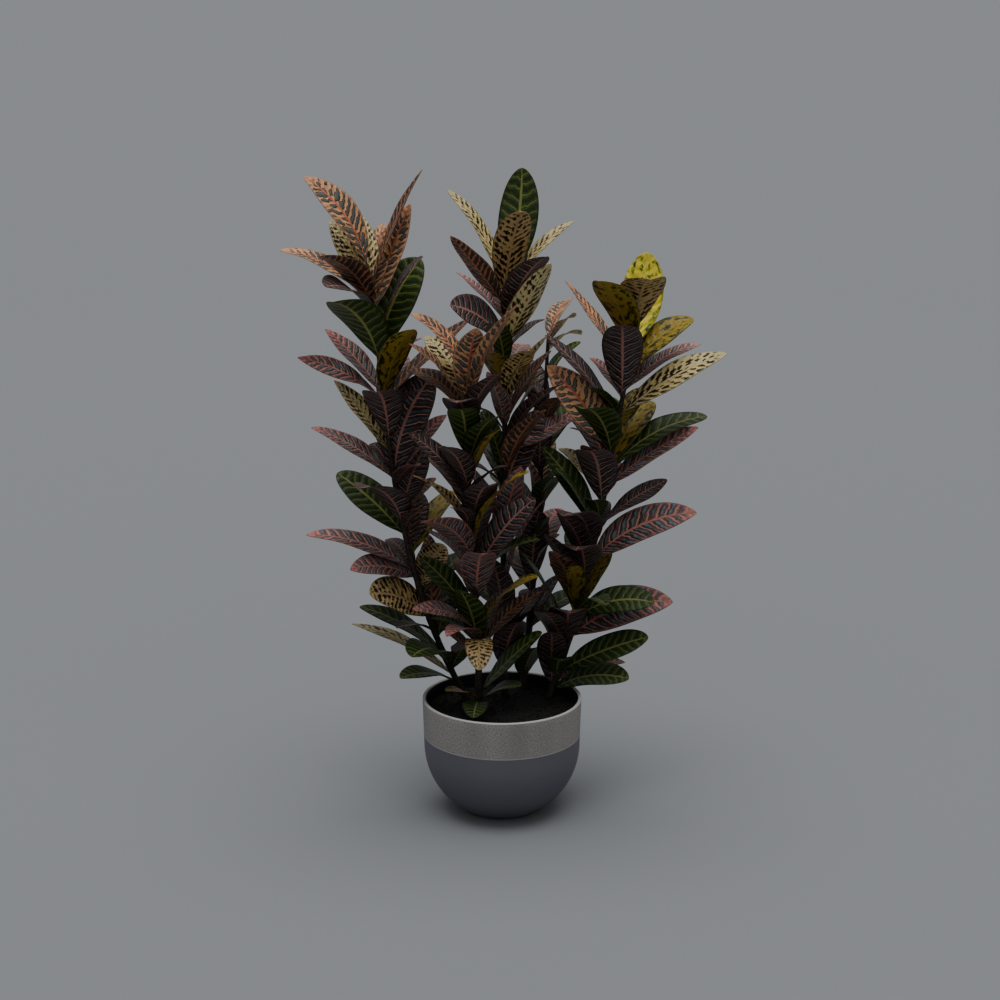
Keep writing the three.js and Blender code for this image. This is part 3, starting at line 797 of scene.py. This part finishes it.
class Leaf:
    """One blade: its midrib is an arc of a circle from the stem to the tip."""

    def __init__(self, stem: Stem, row: Sequence, shape: BladeShape) -> None:
        """Works out the arc from a row of the leaf table.

        Args:
            stem: The stem that carries it.
            row: Its numbers, in the order given over LEAVES.
            shape: How blades are bent and folded.
        """
        height, right, back, up, arch, width, turn, self.tone, *twist = row
        self.shape = shape
        self.taper = shape.blunt_taper
        self.foot = stem.at(height)
        reach = math.hypot(right, back)
        self.azimuth = math.atan2(back, right)
        self.rise = math.atan2(up, reach)
        self.arch = math.radians(arch)
        self.length = math.hypot(reach, up) * (self.arch / 2) / math.sin(self.arch / 2)
        self.half_width = width / 2
        sign = -1 if right < 0 else 1
        self.turn = math.radians(sign * turn)
        self.twist = math.radians(sign * sum(twist))
        self.phase = height * shape.wave_shift
        self.swing = 0.0
        self.seed = (height * 0.6180339 + right * 0.137 + back * 0.071) % 1.0

    def half(self, u: Array) -> Array:
        """Gives half the blade's width.

        Args:
            u: Shares of the blade's length.

        Returns:
            Half the width at each of them.
        """
        shape = self.shape
        s = np.clip((u - shape.stalk_share) / (1 - shape.stalk_share), 0, 1)
        widest = shape.base / (shape.base + self.taper)
        peak = 1 / (widest**shape.base * (1 - widest) ** self.taper)
        blade = self.half_width * (peak * s**shape.base * (1 - s) ** self.taper)
        stalk = np.where((u > 0) & (u < 0.5), shape.stalk_half_width, 0)
        return np.maximum(blade, stalk)

    def points(self, u: Array, v: Array) -> Array:
        """Places points of the blade.

        Args:
            u: Shares along the midrib.
            v: Shares across, from -1 to 1.

        Returns:
            Their places, one row each.
        """
        shape = self.shape
        start = self.rise + self.arch / 2
        now = start - self.arch * u
        radius = self.length / self.arch
        out = radius * (math.sin(start) - np.sin(now))
        up = radius * (np.cos(now) - math.cos(start))
        heading = self.azimuth + self.swing
        cos_h, sin_h = math.cos(heading), math.sin(heading)
        past = np.maximum(0, (u - shape.twist_start) / (1 - shape.twist_start))
        roll = self.turn + self.twist * past
        half = self.half(u)
        wave = shape.wave * np.sin(math.tau * shape.waves * u + self.phase + v)
        across = v * half
        above = np.abs(v) * (shape.fold * half + wave * half / self.half_width)
        along = across * np.cos(roll) - above * np.sin(roll)
        over = across * np.sin(roll) + above * np.cos(roll)
        x = self.foot[0] + out * cos_h - sin_h * along - np.sin(now) * cos_h * over
        y = self.foot[1] + out * sin_h + cos_h * along - np.sin(now) * sin_h * over
        z = self.foot[2] + up + np.cos(now) * over
        return np.stack((x, y, z), axis=1)

    def add_blade(self, bm: Mesh, number: int) -> None:
        """Adds the blade as one sheet with its own map.

        The tip is drawn out here on the pointed kinds, once every leaf has its place.

        Args:
            bm: The mesh that gets it.
            number: The finish's place among the piece's materials.
        """
        if self.tone not in self.shape.blunt_tones:
            self.taper = self.shape.taper
        blade_map = bm.loops.layers.uv[BLADE_MAP]
        seeds = bm.faces.layers.float[SEED_LAYER]
        grid = bmesh.ops.create_grid(
            bm, x_segments=self.shape.spans, y_segments=self.shape.strips, size=1.0
        )["verts"]
        for vertex in grid:
            vertex.co.x = 1 - ((1 - vertex.co.x) / 2) ** self.shape.tip_crowd
        for face in {face for vertex in grid for face in vertex.link_faces}:
            face.material_index = number
            face[seeds] = self.seed
            for loop in face.loops:
                loop[blade_map].uv = (loop.vert.co.x, (loop.vert.co.y + 1) / 2)
        u, v, _ = np.array([vertex.co for vertex in grid]).T
        ends = [vertex for vertex in grid if vertex.co.x in (0.0, 1.0)]
        for vertex, place in zip(grid, self.points(u, v)):
            vertex.co = place
        bmesh.ops.remove_doubles(bm, verts=ends, dist=self.shape.weld)


# Axis of each stem, from the soil to its tip.
STEMS = (
    Stem("left", 962, ((-61, 40), (-199, 32), (-192, 24), (-227, 20))),
    Stem("middle", 953, ((5, 64), (-3, 60), (10, 50), (3, 45))),
    Stem("front", 745, ((-41, 6), (-38, -20), (-60, -42), (-60, -58))),
    Stem("right", 857, ((82, 50), (166, 50), (186, 46), (229, 40))),
    Stem("back", 820, ((38, 104), (60, 125), (72, 140), (81, 140))),
)

# The leaves that show clearly: foot height, tip offset right, back and up, arch in degrees,
# width, turn of the upper face to the viewer, kind of blade, and the twist if it has one.
LEAVES: Table = {
    "left": (
        (960, -102, 0, 147, 48, 60, 40, ORANGE), (912, -70, 38, 120, 35, 54, 40, CREAM),
        (912, -30, 70, 134, 50, 42, 0, CREAM), (898, -155, 15, 86, 50, 48, 18, ORANGE),
        (890, -80, -90, 95, 60, 60, -15, RUST), (872, -70, -110, 66, 60, 70, 20, DARK),
        (796, -66, -110, 117, 60, 88, -10, GREEN), (800, 72, 30, 168, 42, 78, 50, GREEN),
        (835, 82, -60, 146, 30, 54, 36, DARK), (880, 64, 20, 181, 12, 62, 30, ORANGE),
        (918, 90, 0, 202, 16, 38, 16, RUST), (900, 18, 60, 125, 40, 52, 0, ORANGE),
        (733, 54, -90, 132, 40, 60, 0, YELLOW), (740, -102, 60, 104, 20, 48, 6, PINK),
        (728, -146, 0, 76, 36, 34, 10, PINK, 110), (637, -95, 0, 127, 15, 50, 25, CREAM),
        (656, -12, -135, 112, 70, 68, 0, DARK), (590, -142, 0, 92, 30, 44, 22, PINK),
        (590, -42, 60, 52, 40, 42, 10, DARK), (488, -121, 40, 104, 20, 68, 30, GREEN),
        (502, -66, -120, 100, 70, 80, 0, DARK), (424, -188, 0, 66, 42, 56, 15, PINK),
        (411, -112, -50, 30, 50, 56, 30, PINK), (416, -78, 80, 5, 40, 52, 5, TAN),
        (337, -100, -70, 66, 50, 74, 45, TAN), (262, -152, 0, 96, 35, 50, 14, GREEN),
        (228, -185, 40, 86, 30, 46, 0, CREAM), (245, -62, -120, 60, 70, 74, 10, GREEN),
        (210, -100, -90, 46, 50, 56, 5, GREEN), (728, 150, 60, 136, 12, 54, 4, RUST),
        (587, 66, 25, 182, 45, 80, 50, DARK),
    ),
    "middle": (
        (926, 30, 30, 193, -25, 68, 35, GREEN), (902, 28, -90, 154, 40, 64, 0, TAN),
        (919, -96, 0, 165, 35, 40, 28, CREAM), (890, -90, -50, 122, 5, 50, -20, RUST),
        (878, 118, 20, 152, 50, 44, 14, CREAM), (852, 66, -110, 132, 45, 62, 0, DARK),
        (815, 76, -50, 152, 10, 70, -12, CREAM), (862, -84, 90, 73, 30, 38, -13, PINK),
        (822, -92, -40, 73, 50, 70, 45, DARK), (775, -20, -100, 98, 60, 40, 0, GREEN),
        (729, -30, -100, 95, 50, 44, 0, YELLOW), (762, 36, 95, 46, 50, 50, 0, PINK),
        (724, 41, -100, 104, 40, 50, 0, TAN), (716, 70, -40, 127, 12, 56, 5, CREAM),
        (638, 98, -70, 127, 45, 60, 0, DARK), (588, 69, -80, 135, 45, 54, 0, RUST),
        (549, 67, 30, 150, 35, 66, 40, DARK), (630, 128, 30, 62, 15, 50, 22, PINK),
    ),
    "front": (
        (745, -90, -10, 146, 72, 50, 25, ORANGE), (742, -78, 60, 100, 50, 58, 10, CREAM),
        (735, -92, 20, 106, 35, 50, 5, ORANGE), (722, -104, 60, 64, 60, 52, 6, RUST),
        (738, 18, -80, 140, 40, 54, 0, ORANGE), (740, 94, -70, 176, 30, 50, 10, ORANGE),
        (680, -14, -130, 84, 70, 62, 0, DARK), (640, -10, -125, 112, 65, 54, 0, GREEN),
        (690, 55, -80, 113, 50, 52, 5, DARK), (622, 46, -105, 112, 55, 50, 10, GREEN),
        (598, 56, -70, 112, 40, 40, 18, YELLOW), (570, -104, 10, 115, 35, 48, 20, DARK),
        (585, -46, -110, 100, 60, 54, 0, DARK), (565, -72, 80, 64, 45, 50, 0, PINK),
        (513, -95, -60, 112, 40, 46, -3, TAN), (508, 34, -120, 114, 70, 56, 0, DARK),
        (490, 94, -95, 148, 50, 46, 20, YELLOW), (462, -85, -100, 92, 60, 56, -25, PINK),
        (432, -95, 70, 69, 40, 46, -20, DARK), (378, 14, -120, 124, 75, 62, 0, PINK),
        (345, -98, 40, 106, 22, 56, 15, GREEN), (425, 105, 20, 140, 35, 58, 40, DARK),
        (318, 102, -80, 132, 50, 44, 20, YELLOW), (290, 110, 30, 100, 40, 46, 10, RUST),
        (330, -110, -60, 56, 50, 46, 20, PINK), (300, -51, -105, 52, 80, 46, 0, PINK),
        (300, 4, -110, -6, 110, 48, 0, TAN), (208, 110, -30, 124, 15, 52, 28, GREEN),
        (194, -74, -20, 38, 40, 38, 0, TAN), (192, 74, -50, 48, 40, 46, 10, GREEN),
        (192, -8, -112, 12, 40, 46, 0, GREEN),
    ),
    "right": (
        (815, 29, 80, 157, -30, 72, 20, GOLD), (845, 14, -130, 105, 70, 76, 0, TAN),
        (813, -63, -110, 132, 45, 70, 0, YELLOW), (727, -9, -115, 145, 55, 70, 0, DARK),
        (775, -107, 20, 155, 12, 40, 10, ORANGE), (765, 116, 30, 98, 48, 56, 27, YELLOW),
        (741, 137, 60, 74, 40, 40, 12, PINK), (699, 181, -20, 112, 25, 60, 33, CREAM),
        (628, -58, -125, 107, 65, 72, 0, GREEN), (635, -114, -20, 148, 25, 66, 60, ORANGE),
        (688, -126, 20, 148, 24, 44, 15, DARK), (607, 80, 80, 102, 40, 60, 10, YELLOW),
        (600, 172, 30, 92, 48, 58, 20, GREEN), (571, 159, 0, 108, 20, 47, 32, PINK),
        (536, -30, -125, 127, 70, 70, 0, DARK), (500, 124, 40, 76, 22, 32, 5, DARK, 100),
        (436, 186, 0, 90, 50, 66, 46, PINK), (457, -55, -130, 95, 75, 72, 0, DARK),
        (402, -22, -135, 92, 75, 70, 0, DARK), (341, -48, -90, 140, 45, 56, 0, RUST),
        (332, -5, -110, 128, 50, 36, 0, YELLOW), (350, 140, 30, 24, 25, 32, 0, PINK, 90),
        (295, 183, 0, 68, 55, 74, 50, PINK), (332, 136, -40, 42, 55, 58, 40, GREEN),
        (340, 46, -110, 50, 70, 50, 0, GREEN), (276, 2, -130, 106, 75, 68, 0, DARK),
        (232, 158, -30, 76, 18, 60, 38, GREEN), (215, 130, 60, 16, 45, 46, 10, RUST),
        (198, 136, -40, 36, 50, 62, 24, GREEN), (222, 8, -90, 62, 60, 50, 0, GREEN),
        (267, -74, -70, 105, 50, 54, 0, DARK), (295, -92, -20, 171, 20, 46, 5, GREEN),
        (487, -98, 10, 153, 30, 50, 33, GREEN), (559, -77, 80, 65, 50, 50, 0, CREAM),
    ),
    "back": (
        (815, 44, 100, 59, 70, 42, -20, ORANGE), (805, 50, 110, 36, 55, 38, -25, TAN),
        (795, 64, 100, 16, 55, 38, -20, CREAM), (505, 30, -70, 82, 60, 46, 0, GREEN),
    ),
}

# The leaves that show only between those, deep among the stems.
INNER_LEAVES: Table = {
    "left": (
        (590, 90, 20, 110, 30, 50, 20, PINK), (470, 30, 80, 110, 20, 42, 40, RUST),
        (460, 60, 60, 90, 30, 50, 30, DARK), (450, 100, 100, 90, 40, 40, 10, YELLOW),
        (320, -10, 80, 150, 40, 50, 30, RUST), (300, 30, 60, 80, 30, 44, 10, GREEN),
        (520, 40, 40, 120, 30, 52, 30, DARK), (390, 50, 40, 70, 30, 56, 20, TAN),
    ),
    "middle": (
        (580, -40, 30, 120, 30, 46, 0, GREEN), (500, -30, -10, 140, 30, 48, 0, GREEN),
        (640, 60, -30, 130, 25, 50, 20, TAN), (680, 80, 10, 130, 25, 46, 10, RUST),
        (670, -30, -30, 110, 30, 44, 0, PINK), (360, 70, -20, 190, 35, 54, 0, PINK),
        (290, -20, -40, 160, 35, 54, 0, DARK), (240, 40, -30, 130, 40, 50, 0, DARK),
        (470, -70, 20, 140, 30, 50, 0, DARK), (270, 80, 20, 110, 35, 54, 0, DARK),
        (440, 30, -60, 180, 40, 54, 0, PINK), (230, -20, -60, 110, 50, 60, 0, DARK),
    ),
    "front": (
        (580, -50, 20, 80, 30, 50, 0, DARK), (290, 50, 20, 110, 35, 52, 0, RUST),
        (290, -30, -60, 130, 40, 56, 0, GREEN), (260, -60, 40, 70, 40, 36, 0, RUST),
        (460, 40, 30, 130, 35, 52, 0, DARK), (390, -40, 10, 100, 35, 50, 0, PINK),
    ),
    "right": (
        (470, -70, -20, 140, 40, 52, 20, GREEN), (350, -60, -50, 150, 40, 56, 0, DARK),
        (350, 60, 40, 100, 20, 42, 10, YELLOW), (250, -60, -30, 110, 60, 60, 0, DARK),
        (200, -20, -70, 130, 50, 52, 0, DARK), (410, -50, -60, 130, 50, 58, 0, DARK),
        (550, 0, 50, 100, 30, 50, 0, PINK), (550, -40, -60, 110, 50, 50, 0, PINK),
        (670, 50, 40, 70, 30, 46, 10, YELLOW),
    ),
    "back": (
        (370, 10, -40, 150, 40, 56, 0, DARK), (270, 60, 20, 120, 40, 50, 0, DARK),
        (200, 20, -30, 70, 40, 52, 0, GREEN), (480, -20, -10, 130, 35, 48, 0, PINK),
        (570, 10, 20, 140, 35, 50, 0, DARK), (430, 30, 0, 140, 40, 50, 0, GREEN),
    ),
}

# Small leaves deep among the stems, which the solids leave out.
YOUNG_LEAVES: Table = {
    "left": (
        (520, 60, 10, 70, 40, 38, 20, PINK), (240, 35, 20, 50, 40, 36, 20, GREEN),
    ),
    "middle": (
        (240, -40, -30, 50, 40, 36, 20, DARK), (250, 40, -20, 50, 40, 36, 20, GREEN),
    ),
    "right": (
        (290, -50, 10, 50, 40, 38, 20, DARK), (400, -60, 20, 65, 40, 38, 20, GREEN),
        (250, -40, -20, 45, 40, 36, 20, DARK),
    ),
    "back": (
        (400, 45, -30, 75, 40, 38, 20, PINK), (440, 20, -50, 70, 40, 38, 20, GREEN),
    ),
}


@dataclass(frozen=True)
class Filling:
    """A rule for those leaves of a stem that no table lists."""

    count: int
    low: float
    high: float
    length: float
    facing: float
    spread: float = 110.0
    width: float = 56.0
    tones: Sequence[Tone] = (GREEN, DARK, PINK, GREEN, TAN)


# Hidden leaves at the back, as in the solids.
HIDDEN = {
    "left": Filling(3, 300, 780, 150, 65),
    "middle": Filling(3, 340, 800, 150, 90),
    "front": Filling(1, 300, 560, 130, 90),
    "right": Filling(2, 300, 700, 150, 115),
    "back": Filling(7, 260, 700, 150, 90),
}

# Small leaves close to the stems, which the solids leave out too.
SMALL_TONES = (DARK, GREEN, PINK, DARK, RUST)
SMALL = {
    "left": Filling(14, 290, 830, 95, 20, 200, 40, SMALL_TONES),
    "middle": Filling(18, 290, 880, 95, 90, 360, 40, SMALL_TONES),
    "front": Filling(14, 270, 680, 90, 90, 360, 40, SMALL_TONES),
    "right": Filling(14, 290, 780, 95, 160, 200, 40, SMALL_TONES),
    "back": Filling(12, 290, 760, 95, 270, 360, 40, SMALL_TONES),
}


@dataclass
class Foliage:
    """All the leaves, set clear of the other stems' leaves as the solids are."""

    pot: Pot
    clearance: float = 13.0
    own_clearance: float = 9.0
    outer_share: float = 0.4
    swing_step: float = 7.0
    swings: int = 17
    samples_along: int = 14
    samples_across: int = 5
    stem_sample_step: float = 10.0
    rim_clearance: float = 6.0
    look_out: float = 1.3
    fill_arch: float = 50.0
    fill_rise: tuple[float, float] = (12.0, 52.0)
    shape: BladeShape = BladeShape()

    def __post_init__(self) -> None:
        """Lays out the points that stand for a blade, and tells which are outer ones."""
        steps = np.arange(1, self.samples_along + 1) / self.samples_along
        across = np.linspace(-1, 1, self.samples_across)
        self.u, self.v = (grid.ravel() for grid in np.meshgrid(steps, across, indexing="ij"))
        self.outer = self.u > self.outer_share

    def fill_rows(self, stem: Stem, plan: Filling) -> list[tuple]:
        """Lists leaves of a stem by a rule, spread by the golden angle.

        Args:
            stem: The stem.
            plan: How many leaves there are, where and how large.

        Returns:
            Rows like those of the leaf table.
        """
        golden = (math.sqrt(5) - 1) / 2
        lowest, highest = self.fill_rise
        rows = []
        for i in range(plan.count):
            height = plan.low + (plan.high - plan.low) * (i + 0.5) / plan.count
            azimuth = math.radians(plan.facing + plan.spread * ((i * golden) % 1 - 0.5))
            climb = (height - SOIL_LEVEL) / (stem.top - SOIL_LEVEL)
            rise = math.radians(lowest + (highest - lowest) * climb)
            reach = plan.length * math.cos(rise)
            rows.append((
                height, reach * math.cos(azimuth), reach * math.sin(azimuth),
                plan.length * math.sin(rise), self.fill_arch, plan.width, 0,
                plan.tones[i % len(plan.tones)],
            ))
        return rows

    def _above_pot(self, points: Array) -> bool:
        """Tells whether points keep above the soil and the pot's rim.

        Args:
            points: Points of a blade.

        Returns:
            Whether all of them do.
        """
        out = np.hypot(points[:, 0], points[:, 1])
        within = out < self.pot.rim_radius - self.pot.wall - self.rim_clearance
        over_soil = points[:, 2] > SOIL_LEVEL + self.rim_clearance
        past_rim = out > self.pot.rim_radius + self.rim_clearance
        over_rim = points[:, 2] > self.pot.height + self.rim_clearance / 2
        return bool(np.all(np.where(within, over_soil, past_rim | over_rim)))

    def _swing_clear(self, leaf: Leaf, number: int, taken: Array, ruled: bool) -> bool:
        """Swings a leaf about its stem, ever further to either side, until it is clear.

        Args:
            leaf: The leaf.
            number: Its stem's number.
            taken: Points to keep clear of: place, stem's number, 1 for an outer one.
            ruled: Whether its own stem's outer points count too.

        Returns:
            Whether a clear place was found.
        """
        reach = self.look_out * leaf.length + leaf.half_width
        near = taken[np.linalg.norm(taken[:, :3] - leaf.foot, axis=1) < reach]
        others = near[:, 3] != number
        own = self.outer[:, None] & (~others & (near[:, 4] > 0) & ruled)[None, :]
        for i in range(self.swings):
            step = self.swing_step * math.ceil(i / 2)
            leaf.swing = math.radians(step if i % 2 else -step)
            points = leaf.points(self.u, self.v)
            gaps = np.linalg.norm(points[:, None, :] - near[None, :, :3], axis=2)
            crossed = np.any(gaps[:, others] < self.clearance)
            crowded = np.any(gaps[own] < self.own_clearance)
            if self._above_pot(points) and not crossed and not crowded:
                return True
        return False

    def grow(self) -> dict[str, list[Leaf]]:
        """Places every leaf, first those of the tables that show.

        Returns:
            The leaves of each stem.
        """
        taken = []
        for number, stem in enumerate(STEMS):
            levels = np.arange(SOIL_LEVEL, stem.top + TINY, self.stem_sample_step)
            taken.append([(*stem.at(z), number, 0) for z in levels])
        grown: dict[str, list[Leaf]] = {stem.name: [] for stem in STEMS}
        for source in (LEAVES, INNER_LEAVES, HIDDEN, YOUNG_LEAVES, SMALL):
            for number, stem in enumerate(STEMS):
                given = source.get(stem.name, ())
                ruled = isinstance(given, Filling)
                for row in self.fill_rows(stem, given) if ruled else given:
                    leaf = Leaf(stem, row, self.shape)
                    if self._swing_clear(leaf, number, np.concatenate(taken), ruled):
                        points, owner = leaf.points(self.u, self.v), np.full_like(self.u, number)
                        taken.append(np.column_stack((points, owner, self.outer)))
                        grown[stem.name].append(leaf)
        return grown

    def build(self) -> None:
        """Makes and dresses the five leafy stems."""
        finishes = [BarkFinish().material(), *(tone.value.material() for tone in Tone)]
        numbers = {tone: number for number, tone in enumerate(Tone, 1)}
        for stem, leaves in zip(STEMS, self.grow().values()):
            node, slot = f"leafy_stem_{stem.name}", f"foliage_{stem.name}"
            bm = bmesh.new()
            bm.loops.layers.uv.new(BLADE_MAP)
            bm.faces.layers.float.new(SEED_LAYER)
            for leaf in leaves:
                leaf.add_blade(bm, numbers[leaf.tone])
            made = piece(bm, f"leaves_{stem.name}", finishes)
            sheet = made.modifiers.new("blade_thickness", "SOLIDIFY")
            sheet.thickness = self.shape.thickness * METRES
            sheet.offset = 0.0
            settle(made, node)
            settle(piece(stem.wood(), f"stem_{stem.name}", finishes[:1]), node)
            LOG.info("%s stem carries %d leaves", stem.name, len(leaves))


# ---------------- studio


@dataclass
class Studio:
    """Plain pale floor that rises gently all round, wide soft lights and the camera."""

    floor: Colour = (134, 137, 140)
    roughness: float = 0.9
    flat: float = 3000.0
    bend_radius: float = 9000.0
    bend_steps: int = 12
    slope: float = 14.0
    rise: float = 16000.0
    floor_steps: int = 96
    camera_place: tuple[float, float, float] = (-3.5, -3113.0, 1314.0)
    camera_tilt: float = 76.4
    lens: float = 67.18
    sensor: float = 36.0
    sky: tuple[float, float, float, float] = (0.93, 0.96, 1.0, 1.0)
    ambient: float = 0.12
    # Name, lean toward the viewer in degrees, watts per square metre, spread in degrees.
    lights: Sequence[tuple[str, float, float, float]] = (
        ("overhead", 2.0, 2.05, 54.0),
        ("front_fill", 37.0, 0.62, 84.0),
        ("rear_fill", -50.0, 0.3, 100.0),
    )

    def build(self) -> None:
        """Sets up the camera, the lights and the floor."""
        self._camera()
        self._floor()
        for name, lean, power, spread in self.lights:
            lamp = bpy.data.lights.new(name, "SUN")
            lamp.energy = power
            lamp.angle = math.radians(spread)
            stand(name, lamp).rotation_euler = (math.radians(lean), 0.0, 0.0)
        world = bpy.data.worlds.new("studio")
        bpy.context.scene.world = world
        world.use_nodes = True
        background = world.node_tree.nodes["Background"]
        background.inputs[0].default_value = self.sky
        background.inputs[1].default_value = self.ambient

    def _camera(self) -> None:
        """Places the camera where the photograph was taken from."""
        lens = bpy.data.cameras.new("camera")
        lens.lens = self.lens
        lens.sensor_width = self.sensor
        made = stand("camera", lens)
        made.location = Vector(self.camera_place) * METRES
        made.rotation_euler = (math.radians(self.camera_tilt), 0.0, 0.0)
        bpy.context.scene.camera = made

    def _floor(self) -> None:
        """Makes the floor, flat round the pot and rising gently far from it."""
        slope = math.radians(self.slope)
        profile = [(0.0, 0.0)]
        for i in range(self.bend_steps + 1):
            turn = slope * i / self.bend_steps
            out = self.flat + self.bend_radius * math.sin(turn)
            profile.append((out, self.bend_radius * (1 - math.cos(turn))))
        out, up = profile[-1]
        profile.append((out + self.rise * math.cos(slope), up + self.rise * math.sin(slope)))
        bm = bmesh.new()
        lathe(bm, profile, self.floor_steps)
        surface = {"Base Color": self.floor, "Roughness": self.roughness}
        piece(bm, "floor", [Shader("studio_paper").finish(surface)])


def main() -> None:
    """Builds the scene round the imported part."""
    logging.basicConfig(level=logging.INFO, format="%(name)s: %(message)s")
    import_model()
    Studio().build()
    pot = Pot()
    pot.build()
    Soil(pot).build()
    Foliage(pot).build()


if __name__ == "__main__":
    main()
